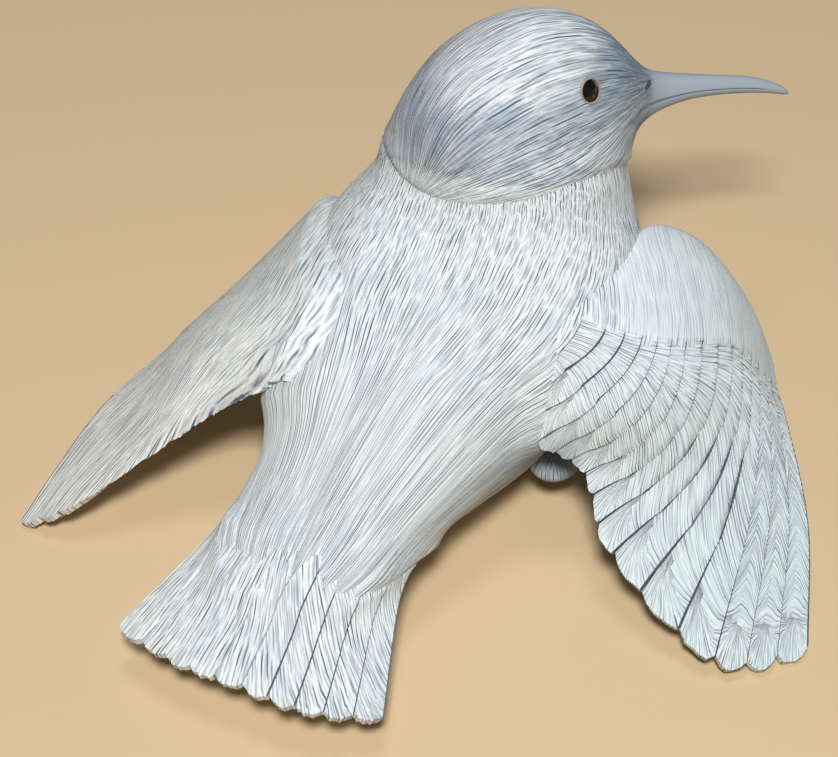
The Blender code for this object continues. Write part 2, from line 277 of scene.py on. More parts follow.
# %% Sheets of feathers
WING_RIGHT = (
    ((12, 32, 46), (24.5, 36.5, 48), (31.5, 42.5, 51), (37.5, 50.5, 52.5),
     (48, 52, 48.5), (60, 46.5, 39.5), (69, 38, 29)),
    ((12, 9, 45), (32, 11.5, 51), (45, 12, 51.5), (53.5, 16.5, 49.5),
     (61.5, 25.5, 44), (67, 29.5, 36), (71, 33, 27)),
    ((11, 0, 41), (28, 4, 45), (40, -1, 42.5), (52.5, -0.5, 37),
     (64, 4, 29), (75, 4, 20), (86, 11, 11)),
    ((10, -4, 36), (24, 0, 38), (29.5, -5, 31), (40, -6.5, 25),
     (51, -18.5, 16), (78, -28.5, 5), (95, -16, 2)),
)
WING_LEFT = (
    ((-12, 24, 42), (-22.5, 26.5, 50), (-32, 32.5, 48.5), (-41, 36, 44),
     (-47, 28, 39), (-53, 15.5, 32), (-60.5, 5, 25)),
    ((-10, -1, 40), (-19, -1.5, 51.5), (-28, -4.5, 50.5), (-36, -7, 47.5),
     (-45.5, -9, 42), (-54.5, -7.5, 34), (-63, -4.5, 23)),
    ((-10, -13, 37), (-19.5, -13, 47.5), (-27.5, -15, 46), (-36, -17.5, 41),
     (-46.5, -22, 33), (-57.5, -29, 23), (-73, -20.5, 14)),
    ((-10, -19.5, 34), (-20.5, -19.5, 42), (-28.5, -19.5, 38), (-38.5, -22, 31),
     (-49, -30, 23), (-65.5, -44.5, 11), (-79.5, -47.5, 1.5)),
)
TAIL = (
    ((-26, -29, 20), (-15.5, -35, 27), (-4, -37, 29), (5.5, -34.5, 27), (11.5, -30, 19)),
    ((-33.5, -55, 17), (-20, -55, 21.5), (-7.5, -53, 23.5), (3.5, -51, 21.5), (12.5, -46.5, 15)),
    ((-41, -73.5, 12), (-24.5, -78, 13), (-9.5, -79, 13), (6, -79.5, 13), (20, -73.5, 10)),
)
WING_FEATHERS = 15
TAIL_FEATHERS = 10
PLAIN_COLUMNS = 3
FEATHER_STEP = 0.7
NOSE_SHARE = 0.16
OUTER_SHARE = 0.06
THINNING = 1.5
OUTER_LOSS = 0.75
TIP_START = 0.85
TIP_SQUARENESS = 2.5
COVERT_STEP = 0.35
V_SLANT = 0.15
V_FROM = 0.75
SHAFT = 0.45


def sheet(table, feathers, plain, inside, along, slant, root, edge, tips, covert_row, step, rag):
    """Upper and lower skins of a row of overlapping feathers.

    A point is read from the table at its share along and across, then moved along the skin's normal by
    the climb of its feather and by half the thickness, which falls with a power of the share along.
    The lines lean by the slant, and on the outermost feathers they stand in a V on the shaft. The ends
    are ragged by a chance length up to rag.
    Returns the skins, the feather's number and share across, and the share along of every point.
    """
    columns = (np.arange(feathers)[:, None] + inside).ravel()
    columns = np.r_[np.linspace(-plain, 0, plain * 6, endpoint=False), columns, feathers]
    place = np.where(columns < 0, 0, columns - np.floor(columns))
    place[-1] = 1
    across = np.clip(columns / feathers, 0, 1)[None, :]
    fade = np.minimum(smooth_step(along, covert_row, covert_row + 0.3), smooth_step(1 - along, 0, 0.2))
    shafted = (np.floor(columns) >= V_FROM * feathers) * (slant > 0)
    slant = slant * (0.3 + 0.7 * smooth_step(across, 0.05, 0.35))
    lean = slant * (place - 0.5) * (1 - shafted) + V_SLANT * (np.abs(place - SHAFT) - 0.25) * shafted
    lean = lean * fade[:, None] * (columns >= 0)
    share = np.clip(along[:, None] + lean, 0, 1)
    table = np.asarray(table, float)
    last = len(table) - 1
    station = (columns + plain) / (feathers + plain) * (table.shape[1] - 1)
    guides = through(table.transpose(1, 0, 2), station)
    start = np.clip((share * last).astype(int), 0, last - 1)
    slope = np.gradient(guides, axis=1)
    t = (share * last - start)[..., None]
    column = np.arange(len(columns))[None, :]
    blend = t * t * (3 - 2 * t)
    surface = (guides[column, start] * (1 - blend) + guides[column, start + 1] * blend
               + slope[column, start] * t * (1 - t) ** 2 + slope[column, start + 1] * t * t * (t - 1))
    down = np.gradient(surface, axis=0)
    beside = np.gradient(surface, station, axis=1)
    normal = unit(np.cross(beside, down))
    normal = normal * np.sign(normal[..., 2].mean())
    bare = np.clip((share - covert_row) * last, 0, 1)
    climb = FEATHER_STEP * place[None, :] * step(share, across) * np.minimum(1, bare * 4)
    coverts = COVERT_STEP * np.clip(1 - bare * 12, 0, 1) * (covert_row > 0) * smooth_step(columns, 0, 1.5)
    nose = np.clip(share / NOSE_SHARE, 0, 1)
    full = edge + (root - edge) * (1 - share) ** THINNING * (1 - OUTER_LOSS * across ** 2)
    thick = full * np.sqrt(nose * (2 - nose))
    outer = np.sqrt(np.clip((1 - across) / OUTER_SHARE, 0, 1))
    top = surface + normal * (climb + coverts - (full - thick) / 2)[..., None]
    bottom = surface - normal * ((full - thick) / 2 + thick * np.maximum(outer, edge / full))[..., None]
    ends = 1 - np.abs(2 * place - 1) ** TIP_SQUARENESS
    taper = np.clip((share - TIP_START) / (1 - TIP_START), 0, 1)
    ragged = rag * (chance(np.arange(len(columns)), 5) - 0.5)[None, :] * taper
    growth = unit(down) * (tips(across) * ends[None, :] * taper + ragged)[..., None]
    top = top + growth
    bottom = bottom + growth
    top[..., 2] = np.maximum(top[..., 2], edge)
    bottom[..., 2] = np.maximum(bottom[..., 2], 0)
    return top, bottom, normal, columns, place, share


print("tables: wings", np.shape(WING_RIGHT), "tail", np.shape(TAIL))

# %% Right wing
COVERT_SHARE = 1 / 3
BARB_LINES = 3
right_along = np.r_[np.linspace(0, COVERT_SHARE, 30, endpoint=False),
                    np.linspace(COVERT_SHARE, 1, 190)]
right_inside = np.array([0, 0.2, 0.4, 0.6, 0.78, 0.96])


def wing_tips(across):
    """How far the rounded feather ends stand out, growing with the cube of the share across."""
    return 0.5 + 3.0 * across ** 3


right = sheet(WING_RIGHT, WING_FEATHERS, PLAIN_COLUMNS, right_inside, right_along, 0.08,
              11, 1.6, wing_tips, COVERT_SHARE, lambda share, across: 1.0, 0.7)
print("right wing:", right[0].shape)

# %% Left wing
left_along = np.linspace(0, 1, 70)
left_inside = np.r_[np.linspace(0, 0.88, 9), 0.96]


def late_step(share, across):
    """Feather edges that only stand up towards the trailing edge."""
    return 0.05 + 0.65 * smooth_step(share, 0.65, 0.95)


def left_tips(across):
    """The left wing's ends are worn, so they hardly stand out."""
    return 0.4 + 1.0 * across ** 3


left = sheet(WING_LEFT, WING_FEATHERS, PLAIN_COLUMNS, left_inside, left_along, 0,
             11, 1.6, left_tips, 0, late_step, 0.8)
print("left wing:", left[0].shape)

# %% Tail
tail_along = np.linspace(0, 1, 52)
tail_inside = np.r_[np.linspace(0, 0.88, 11), 0.96]


def tail_tips(across):
    """How far the rounded ends of the tail feathers stand out."""
    return 1.2 + 0 * across


tail = sheet(TAIL, TAIL_FEATHERS, 0, tail_inside, tail_along, 0, 7, 1.8, tail_tips, 0,
             lambda share, across: 0.6 * smooth_step(share, 0.25, 0.6), 0.7)
print("tail:", tail[0].shape)

# %% [markdown]
# ## Soft joins
# The carver leaves no hard corner where a wing, the tail or the neck grows out of the body. Where two
# surfaces come near each other both are moved outwards, so that they meet in a hollow curve instead of a
# corner. The distance between them is found by comparing the points of one with samples of the other.

# %% Fillets between the forms
SAMPLE_GAP = 1.2


def distance_to(points, samples, normals, reach):
    """Signed distance from points to a surface of samples: that to the nearest sample's own plane,
    joined by Pythagoras with what lies beside the sample beyond the gap between samples. A point that
    lies beside the surface's edge counts as outside. Also returns the nearest normals."""
    result = np.full(len(points), 2.0 * reach)
    facing = np.zeros((len(points), 3))
    near = (points > samples.min(0) - reach) & (points < samples.max(0) + reach)
    near = np.nonzero(near.all(1))[0]
    sizes = (samples ** 2).sum(1)
    for block in np.array_split(near, max(1, len(near) // 1500)):
        spot = points[block]
        nearest = (sizes[None, :] - 2 * spot @ samples.T).argmin(1)
        offset = spot - samples[nearest]
        height = (offset * normals[nearest]).sum(1)
        beside = np.maximum((offset ** 2).sum(1) - height ** 2 - SAMPLE_GAP ** 2, 0)
        result[block] = np.where(beside > 0, np.sqrt(np.maximum(height, 0) ** 2 + beside), height)
        facing[block] = normals[nearest]
    return result, facing


def fillet(distance, size):
    """How far a surface moves out: the square of the root of size less the root of the distance."""
    distance = np.clip(distance, size / 4, size)
    return (np.sqrt(size) - np.sqrt(distance)) ** 2


def thinned(grid, normal, rows, columns):
    """Samples of a grid and their normals, about one in so many rows and columns."""
    return grid[::rows, ::columns].reshape(-1, 3), normal[::rows, ::columns].reshape(-1, 3)


body_normal = -directions(body)
head_normal = -directions(head)
body_samples = thinned(body, body_normal, 1, 4)
head_samples = thinned(head, head_normal, 1, 1)


def sheet_samples(parts, rows, columns):
    """Samples of both skins of a sheet, the lower with its normals turned over."""
    top, bottom, normal = parts[:3]
    upper = thinned(top, normal, rows, columns)
    lower = thinned(bottom, -normal, rows, columns)
    return np.concatenate([upper[0], lower[0]]), np.concatenate([upper[1], lower[1]])


right_samples = sheet_samples(right, 4, 2)
left_samples = sheet_samples(left, 2, 2)
tail_samples = sheet_samples(tail, 1, 4)
print("samples:", len(body_samples[0]), len(head_samples[0]), len(right_samples[0]))


def softened(grid, normal, joins):
    """A grid moved out along its normals by the largest fillet of its joins."""
    flat = grid.reshape(-1, 3)
    push = np.zeros(len(flat))
    for (samples, normals), size in joins:
        push = np.maximum(push, fillet(distance_to(flat, samples, normals, size)[0], size))
    return grid + normal * push.reshape(grid.shape[:2])[..., None]


NECK_FILLET, RIGHT_FILLET, LEFT_FILLET, TAIL_FILLET = 14.0, 12.0, 18.0, 9.0
soft_head = softened(head, head_normal, [(body_samples, NECK_FILLET)])
soft_body = softened(body, body_normal, [
    (head_samples, NECK_FILLET), (right_samples, RIGHT_FILLET), (left_samples, LEFT_FILLET),
    (tail_samples, TAIL_FILLET)])
soft = {}
for name, parts, size in (("right", right, RIGHT_FILLET), ("left", left, LEFT_FILLET),
                          ("tail", tail, TAIL_FILLET)):
    soft[name] = (softened(parts[0], parts[2], [(body_samples, size)]),
                  softened(parts[1], -parts[2], [(body_samples, size)]))
print("fillets done, largest push on the body", round(float(np.abs(soft_body - body).max()), 2), "mm")

# %% [markdown]
# ## The edge of the hood
# The mantle's feathers lie over the back of the head up to a ragged line, the edge of the hood. So the
# body's skin is drawn up over the head as far as that line, and no farther.

# %% Mantle over the head
HOOD_DROP, HOOD_MIDDLE, HOOD_BEND = 19.0, 5.0, 0.0085
MANTLE_RISE = 0.25
MANTLE_REACH = 10.0


def above_hood_line(points):
    """How far points lie above the hood's edge: their height in the head's own frame less that of the
    edge, which rises with the square of the way forwards and backwards."""
    offset = points - HEAD_CENTRE
    return offset @ HEAD_UP + HOOD_DROP - HOOD_BEND * (offset @ HEAD_ALONG + HOOD_MIDDLE) ** 2


flat_body = soft_body.reshape(-1, 3)
depth, facing = distance_to(flat_body, *thinned(soft_head, -directions(soft_head), 1, 1), MANTLE_REACH)
covered = smooth_step(-above_hood_line(flat_body), -0.2, 0.8) * (depth > -MANTLE_REACH)
lift = np.clip(MANTLE_RISE - depth, 0, MANTLE_REACH) * covered * (depth < MANTLE_RISE)
soft_body = soft_body + (facing * lift[:, None]).reshape(soft_body.shape)
print("mantle points drawn over the head:", int((lift > 0).sum()))

# %% Smooth the neck
SMOOTHING_ROUNDS = 40
NECK_FROM, NECK_FULL, NECK_TO = 38, 46, 84
row_number = np.arange(BODY_ROWS)[:, None]
neck = smooth_step(-above_hood_line(soft_body), 0.3, 2.0)
neck = neck * smooth_step(row_number, NECK_FROM, NECK_FULL) * (row_number < NECK_TO)
for _ in range(SMOOTHING_ROUNDS):
    middle = (soft_body[:-2] + soft_body[2:]) / 2
    soft_body[1:-1] += 0.5 * neck[1:-1, :, None] * (middle - soft_body[1:-1])
print("the neck is smoothed over", int((neck > 0).sum()), "points")

# %% [markdown]
# ## Cutting the strokes
# Each form now gets its strokes: long ones down the back, fine ones that sweep from the bill over the
# head and down to the neck, barbs across the wing feathers and long lines down the tail. Two numbers are
# kept for each point: how deep it was cut, which later takes the dark wash, and which part of the bird it
# is on.

# %% Body strokes
FINGER_WIDTH, FINGER_DEPTH = 2.4, 2.2
BODY_STROKE, SHORT_STROKE = (1.45, 13), (1.05, 8)  # width and length
body_across = body_girth[None, :] + 0 * body_along[:, None]
body_down = body_along[:, None] + 0 * body_across
body_wander = 0.5 * waves(body_down, 17, body_across / 31)
body_cut = np.maximum(strokes(body_across + body_wander, body_down, *BODY_STROKE, 3),
                      0.6 * strokes(body_across + body_wander + 0.7, body_down, *SHORT_STROKE, 11))
shown = smooth_step(np.sin(np.radians(body_turn)), -0.75, -0.3)[None, :]
finger_step = np.arange(120) * FINGER_WIDTH
fingers = np.interp(body_across, finger_step, chance(np.arange(len(finger_step)), 2) - 0.5)
fingers = fingers * FINGER_DEPTH * smooth_step(-body[..., 1], 40, 52)
soft_body = soft_body - directions(soft_body) * fingers[..., None]
depth = 0.2 - 0.1 * smooth_step(soft_body[..., 2], 58, 68)
soft_body = soft_body + directions(soft_body) * (depth * body_cut * shown)[..., None]
print("body strokes, mean depth", round(float(body_cut.mean()), 3))

# %% Head strokes
BILL_BASE = HEAD_CENTRE + 30 * HEAD_ALONG + 1 * HEAD_UP
NAPE_BASE = HEAD_CENTRE - 56 * HEAD_ALONG - 38 * HEAD_UP


def swept(points):
    """Across and along the strokes of the head: the turn about the line from the bill's base to the
    base of the nape, and half the difference of the distances to its two ends."""
    axis = NAPE_BASE - BILL_BASE
    axis = axis / np.linalg.norm(axis)
    first = np.cross(axis, HEAD_RIGHT)
    first = first / np.linalg.norm(first)
    second = np.cross(axis, first)
    offset = points - BILL_BASE
    turn = np.arctan2(offset @ second, offset @ first)
    return turn, (np.linalg.norm(offset, axis=-1) - np.linalg.norm(points - NAPE_BASE, axis=-1)) / 2


head_sweep, head_down = swept(soft_head)
HEAD_RADIUS = 21
HEAD_STROKE = (1.5, 8)
HEAD_DEPTH, MOUTH_DEPTH, MOUTH_WIDTH = 0.2, 0.3, 3.2
head_across = head_sweep * HEAD_RADIUS
feathered = 1 - smooth_step(head_distance, 27, 33)[:, None]
head_cut = strokes(head_across + 0.3 * waves(head_down, 6, 1), head_down, *HEAD_STROKE, 21) * feathered
soft_head = soft_head + directions(soft_head) * (HEAD_DEPTH * head_cut)[..., None]
MOUTH_TURN = -24
mouth_gap = np.minimum(np.abs(head_turn - MOUTH_TURN), np.abs(head_turn - (180 - MOUTH_TURN)))
mouth = (np.exp(-(mouth_gap / MOUTH_WIDTH) ** 2)[None, :]
         * (smooth_step(head_distance, 24, 29) * (1 - smooth_step(head_distance, 58, 63)))[:, None])
soft_head = soft_head + directions(soft_head) * (MOUTH_DEPTH * mouth)[..., None]
head_cut = np.maximum(head_cut, mouth)
print("head strokes, mean depth", round(float(head_cut.mean()), 3))

# %% Feather strokes
def barbs(rows, columns, seed):
    """Depth from 0 to 1 of barbs: every third grid line is low, by an amount that changes slowly along
    it and from feather to feather."""
    line = rows[:, None] % BARB_LINES
    low = np.where(line == 0, 1.0, np.where(line == 1, 0.35, 0.0))
    feather = np.floor(columns)[None, :]
    group = np.floor(rows[:, None] / BARB_LINES)
    return low * (0.25 + 0.75 * chance(group, feather, seed))


def measured(grid):
    """Mean distances in millimetres along the columns and along the rows of a grid."""
    down = np.r_[0, np.cumsum(np.linalg.norm(np.diff(grid, axis=0), axis=2).mean(1))]
    beside = np.r_[0, np.cumsum(np.linalg.norm(np.diff(grid, axis=1), axis=2)[: len(grid) // 2].mean(0))]
    return down[:, None] + 0 * beside, beside[None, :] + 0 * down[:, None]


def pair(first, second):
    """Two values for every point of a grid, side by side."""
    return np.stack(np.broadcast_arrays(first, second), -1)


def beside_seam(place):
    """Whether a column is one of the two between which a feather drops to the next."""
    return (place < 0.01) | (place > 0.93)


# %% Right wing strokes
SHEET_CUT = 0.2
FAN_LENGTH = 11.0
FAN_SLOPE = 0.6
FAN_SPACING = 40.0
FAINT_ZONE, BARB_ZONE = 0.5, 0.3
sheets = {}
top, bottom = soft["right"]
normal, columns, place, share = right[2:]
feather, across = np.floor(columns), np.clip(columns / WING_FEATHERS, 0, 1)
down, beside = measured(right[0])
true_down = np.r_[[0 * columns], np.cumsum(np.linalg.norm(np.diff(right[0], axis=0), axis=2), axis=0)]
true_beside = np.c_[0 * right_along, np.cumsum(np.linalg.norm(np.diff(right[0], axis=1), axis=2), axis=1)]
first_column = np.searchsorted(columns, feather)
last_column = np.minimum(first_column + len(right_inside), len(columns) - 1)
width = true_beside[:, last_column] - true_beside[:, first_column]
shafted = feather >= V_FROM * WING_FEATHERS
aside = (place - np.where(shafted, SHAFT, 0)) * width
past_fan = true_down - true_down[-1] + FAN_LENGTH
in_fan = past_fan > FAN_SLOPE * np.abs(aside)
fan_turn = np.arctan2(aside, np.maximum(past_fan, 0.01))
fan = pair(FAN_LENGTH * fan_turn + FAN_SPACING * feather, np.hypot(aside, past_fan))
feathers_bare = share > COVERT_SHARE + 0.03 * chance(np.floor(columns * 2), 4)
barbed = feathers_bare & (columns >= 0)
rows = np.arange(len(right_along)) - np.searchsorted(right_along, COVERT_SHARE)
soft_start = smooth_step(share, COVERT_SHARE, COVERT_SHARE + 0.03) * (columns >= 0)
cut = barbs(rows, columns, 31) * soft_start * (1 - smooth_step(past_fan - FAN_SLOPE * np.abs(aside), -1, 0))
seam_start = COVERT_SHARE + 0.02 * chance(np.floor(columns + 0.05), 6)
seam = beside_seam(place) & (columns >= 0) & (share > seam_start)
zone = np.where(share < COVERT_SHARE, FAINT_ZONE * np.minimum(across * 6, 1), BARB_ZONE * (columns >= 0))
region = np.where(in_fan & (columns >= 0), 2, np.where(barbed, 1, 0))
sheets["right"] = (top - normal * (SHEET_CUT * cut)[..., None], bottom,
                   (pair(beside, down), pair(down, beside), fan),
                   region, pair(cut * 0.3, np.where(seam, -1.0, zone)))
print("right wing:", down[-1, 0].round(1), "by", beside[0, -1].round(1), "mm")

# %% Left wing strokes
LEFT_BEND = 26.0
LEFT_STROKE = (1.5, 7)
top, bottom = soft["left"]
normal, columns, place, share = left[2:]
feather = np.floor(columns)
down, beside = measured(left[0])
curved = beside - LEFT_BEND * (1 - (1 - share) ** 2) * smooth_step(beside, 8, 50)
streaks = pair(curved, down + 0.6 * beside)
cut = strokes(curved + 0.3 * waves(down, 7, 2), down + 0.6 * beside, *LEFT_STROKE, 41)
cut = cut * (0.5 + 0.5 * smooth_step(share, 0.7, 0.95))
drawn = smooth_step(share, 0.55, 0.62) * (chance(feather, 13) > 0.45)
seam = beside_seam(place) & (columns >= 0) & (drawn > 0.5)
sheets["left"] = (top - normal * (SHEET_CUT * cut)[..., None], bottom, (streaks,),
                  np.zeros(share.shape, int), pair(cut * smooth_step(share, 0.5, 0.95), -1.0 * seam))
print("left wing:", down[-1, 0].round(1), "by", beside[0, -1].round(1), "mm")

# %% Tail strokes
BARB_SLOPE = 0.5
TAIL_STROKE = (1.45, 10)
top, bottom = soft["tail"]
normal, columns, place, share = tail[2:]
feather = np.floor(columns)
down, beside = measured(tail[0])
slope = BARB_SLOPE * smooth_step(feather / TAIL_FEATHERS, 0.25, 0.6) * smooth_step(share, 0.15, 0.35)
slanted = beside - slope * (down - down.mean())
cut = strokes(slanted, down, *TAIL_STROKE, 51)
drawn = (share > 0.3) & (chance(feather, 17) < 0.2 + 0.8 * smooth_step(feather / TAIL_FEATHERS, 0.3, 0.5))
seam = beside_seam(place) & drawn & (columns > 0.5)
sheets["tail"] = (top - normal * (SHEET_CUT * cut)[..., None], bottom, (pair(slanted, down),),
                  np.zeros(share.shape, int), pair(cut, -1.0 * seam))
print("tail:", down[-1, 0].round(1), "by", beside[0, -1].round(1), "mm")

# %% [markdown]
# ## Closing the skins
# Each form becomes one closed mesh, and then all are joined into a single carving with Boolean unions, as
# the real one is a single block. Two maps go with every corner: the grain, in millimetres across and
# along the strokes, and the wash, which holds the depth of the cut and the part of the bird.

# %% Meshes from grids
MM = 0.001
low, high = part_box("glass_eye_right")
EYE_RADIUS, EYE_OPENING_RADIUS, EYE_CLEARANCE = 3.2, 2.5, 0.3
EYE_ALONG, EYE_HEIGHT = 9.5, 1.4


def eye_place(hand):
    """Centre of an eye, the direction that it looks in, and the point of the skin over it."""
    table = np.array(HEAD, float)
    half = np.interp(EYE_ALONG, table[:, 0], table[:, 4])
    tilt = np.interp(EYE_ALONG, table[:, 0], np.gradient(table[:, 4], table[:, 0]))
    out = HEAD_RIGHT * hand - HEAD_ALONG * tilt
    out = out / np.linalg.norm(out)
    sunk = np.sqrt((EYE_RADIUS + EYE_CLEARANCE) ** 2 - EYE_OPENING_RADIUS ** 2)
    skin = HEAD_CENTRE + HEAD_ALONG * EYE_ALONG + HEAD_UP * EYE_HEIGHT + HEAD_RIGHT * hand * half
    return skin - out * sunk, out, skin


shift = np.array((low + high) / 2) - eye_place(1)[0] * MM
shift[2] = 0
print("the solids lie", (shift * 1000).round(2), "mm from the tables")


def closed_mesh(name, points, faces, grain, wash):
    """A mesh object from points in millimetres, faces as lists of numbers, and two values for every
    corner of every face in the same order."""
    mesh = bpy.data.meshes.new(name)
    mesh.from_pydata((points * MM + shift).tolist(), [], faces)
    for title, values in (("grain", grain), ("wash", wash)):
        layer = mesh.uv_layers.new(name=title, do_init=False)
        layer.uv.foreach_set("vector", np.asarray(values, np.float32).ravel())
    piece = bpy.data.objects.new(name, mesh)
    bpy.context.scene.collection.objects.link(piece)
    return piece


def quads(rows, columns, wrapped):
    """Numbers of the corners of every face of a grid, whose last column may join its first."""
    number = np.arange(rows * columns).reshape(rows, columns)
    beside = np.roll(number, -1, axis=1) if wrapped else number[:, 1:]
    here = number if wrapped else number[:, :-1]
    return np.stack([here[:-1], beside[:-1], beside[1:], here[1:]], -1).reshape(-1, 4)


def tube(name, rings, grain, wash, flip, period=girth[-1]):
    """A closed mesh from rings of points, with a middle point closing each end. The grain starts anew
    after one period across, so the corners of a face are brought within half a period of its first."""
    rows, columns = rings.shape[:2]
    points = np.concatenate([rings.reshape(-1, 3), rings[:1].mean(1), rings[-1:].mean(1)])
    sides = quads(rows, columns, True)
    first = np.arange(columns)
    final = first + (rows - 1) * columns
    centre = rows * columns
    cap_a = np.stack([np.roll(first, -1), first, np.full(columns, centre)], 1)
    cap_b = np.stack([final, np.roll(final, -1), np.full(columns, centre + 1)], 1)
    if flip:
        sides, cap_a, cap_b = sides[:, ::-1], cap_a[:, ::-1], cap_b[:, ::-1]
    grain = np.concatenate([grain.reshape(-1, 2), grain[:1].mean(1), grain[-1:].mean(1)])
    wash = np.concatenate([wash.reshape(-1, 2), wash[:1].mean(1), wash[-1:].mean(1)])
    corners = grain[sides]
    turned = corners[..., 0] - corners[:, :1, 0]
    corners[..., 0] = corners[:, :1, 0] + turned - period * np.round(turned / period)
    faces = sides.tolist() + cap_a.tolist() + cap_b.tolist()
    grains = np.concatenate([part.reshape(-1, 2) for part in (corners, grain[cap_a], grain[cap_b])])
    washes = np.concatenate([wash[part].reshape(-1, 2) for part in (sides, cap_a, cap_b)])
    return closed_mesh(name, points, faces, grains, washes)


carved_body = tube("body", soft_body, np.stack([body_across, body_down], -1),
                   np.stack([body_cut * shown, 0 * body_cut], -1), True)
zone = 1 + smooth_step(head_distance, 27, 33)[:, None] + 0 * head_cut
carved_head = tube("head", soft_head, np.stack([head_across, head_down], -1),
                   np.stack([head_cut, zone], -1), True, 2 * np.pi * HEAD_RADIUS)
print("body and head meshes:", len(carved_body.data.polygons), len(carved_head.data.polygons))


# %% Meshes from sheets
def sheet_mesh(name, key, step):
    """A closed mesh from a fine upper skin and a lower skin with only every step-th column, whose first
    and last rows are whole, so that both skins meet point for point all round."""
    top, bottom, grains, region, wash = sheets[key]
    rows, count = top.shape[:2]
    coarse = np.unique(np.r_[np.arange(0, count, step), count - 1])
    number = np.arange(rows * count).reshape(rows, count)
    first = rows * count + np.arange(count)
    middle = first[-1] + 1 + np.arange((rows - 2) * len(coarse)).reshape(rows - 2, len(coarse))
    final = middle[-1, -1] + 1 + np.arange(count)
    points = np.concatenate([top.reshape(-1, 3), bottom[0],
                             bottom[1:-1][:, coarse].reshape(-1, 3), bottom[-1]])
    values = [np.concatenate([grid.reshape(-1, 2), grid[0], grid[1:-1][:, coarse].reshape(-1, 2), grid[-1]])
              for grid in (*grains, wash)]
    upper = quads(rows, count, False)
    lower = middle[0, 0] + quads(rows - 2, len(coarse), False)[:, ::-1]
    above = [number[0], number[:, -1], number[-1, ::-1], number[::-1, 0]]
    below = [first, np.r_[first[-1], middle[:, -1], final[-1]], final[::-1],
             np.r_[final[0], middle[::-1, 0], first[0]]]
    rims = [np.stack([high[1:], high[:-1], under[:-1], under[1:]], 1) for high, under in zip(above, below)]
    ends = []
    for one, (start, end) in enumerate(zip(coarse[:-1], coarse[1:])):
        ends.append([middle[0, one], middle[0, one + 1], *first[start:end + 1][::-1]])
        ends.append([*final[start:end + 1], middle[-1, one + 1], middle[-1, one]])
    four_sided = np.concatenate([upper, lower] + rims)
    corner = np.r_[four_sided.ravel(), np.concatenate(ends)].astype(int)
    choice = np.zeros(len(corner), int)
    choice[:upper.size] = np.repeat(region[:-1, :-1].ravel(), 4)
    grain = np.stack(values[:-1])[choice, corner]
    washes = values[-1][corner] * (corner < rows * count)[:, None]
    faces = four_sided.tolist() + [[int(point) for point in face] for face in ends]
    return closed_mesh(name, points, faces, grain, washes)


carved_right = sheet_mesh("wing_right", "right", 6)
carved_left = sheet_mesh("wing_left", "left", 10)
carved_tail = sheet_mesh("tail", "tail", 8)


def volume(piece):
    """Cubic centimetres in a closed mesh: a sixth of the sum of its triangles' triple products."""
    mesh = piece.data
    mesh.calc_loop_triangles()
    corners = np.zeros(len(mesh.loop_triangles) * 3, np.int32)
    mesh.loop_triangles.foreach_get("vertices", corners)
    places = np.zeros(len(mesh.vertices) * 3, np.float32)
    mesh.vertices.foreach_get("co", places)
    a, b, c = places.reshape(-1, 3)[corners.reshape(-1, 3)].transpose(1, 0, 2).astype(float)
    return float((a * np.cross(b, c)).sum() / 6 * 1e6)


for piece in (carved_body, carved_head, carved_right, carved_left, carved_tail):
    if volume(piece) < 0:
        piece.data.flip_normals()
    print(piece.name, len(piece.data.polygons), "faces", round(volume(piece), 1), "cubic centimetres")


# %% Tufts, eyelids and sockets
def ball(name, centre, half_size, columns, rows, zone_number):
    """An ellipsoid: a circle of radius sine of the slope, at a height of its cosine."""
    turn = np.linspace(0, 2 * np.pi, columns, endpoint=False)[None, :]
    slope = np.linspace(0.02, np.pi - 0.02, rows)[:, None]
    rings = np.stack([np.sin(slope) * np.cos(turn), np.sin(slope) * np.sin(turn),
                      np.cos(slope) + 0 * turn], -1)
    rings = rings * np.asarray(half_size) + np.asarray(centre)
    grain = np.stack([turn * half_size[0] + 0 * slope, slope * half_size[1] + 0 * turn], -1)
    return tube(name, rings, grain, np.stack([0 * grain[..., 0], 0 * grain[..., 0] + zone_number], -1), False)


def ring(name, centre, out, radius, thickness, zone_number):
    """A ring: a circle of one radius carried round a circle of another."""
    turn = np.linspace(0, 2 * np.pi, 48, endpoint=False)[:, None]
    small = np.linspace(0, 2 * np.pi, 12, endpoint=False)[None, :]
    out = np.asarray(out)
    side = np.cross(out, (0, 0, 1.0))
    side = side / np.linalg.norm(side)
    other = np.cross(out, side)
    reach = radius + thickness * np.cos(small)
    points = (centre + (reach * np.cos(turn))[..., None] * side + (reach * np.sin(turn))[..., None] * other
              + (thickness * np.sin(small) + 0 * turn)[..., None] * out)
    number = np.arange(48 * 12).reshape(48, 12)
    next_row = np.roll(number, -1, axis=0)
    faces = np.stack([number, np.roll(number, -1, 1), np.roll(next_row, -1, 1), next_row], -1).reshape(-1, 4)
    values = np.zeros((faces.size, 2))
    values[:, 1] = zone_number
    return closed_mesh(name, points.reshape(-1, 3), faces.tolist(), np.zeros((faces.size, 2)), values)


LID_ZONE, SOCKET_ZONE = 3, 4
TUFT_CENTRE, TUFT_HALF_SIZE = np.array((28.5, 7, 12)), (6, 7, 3.5)
LID_WIDTH = 0.24
additions = []
sockets = []
for side, hand in (("right", 1), ("left", -1)):
    centre, out, skin = eye_place(hand)
    additions.append(ball("tuft_" + side, TUFT_CENTRE * (hand, 1, 1), TUFT_HALF_SIZE, 28, 16, 0))
    additions.append(ring("lid_" + side, skin, out, EYE_OPENING_RADIUS + LID_WIDTH, LID_WIDTH, LID_ZONE))
    socket = [EYE_RADIUS + EYE_CLEARANCE] * 3
    sockets.append(ball("socket_" + side, centre, socket, 40, 24, SOCKET_ZONE))
print("added:", [piece.name for piece in additions + sockets])

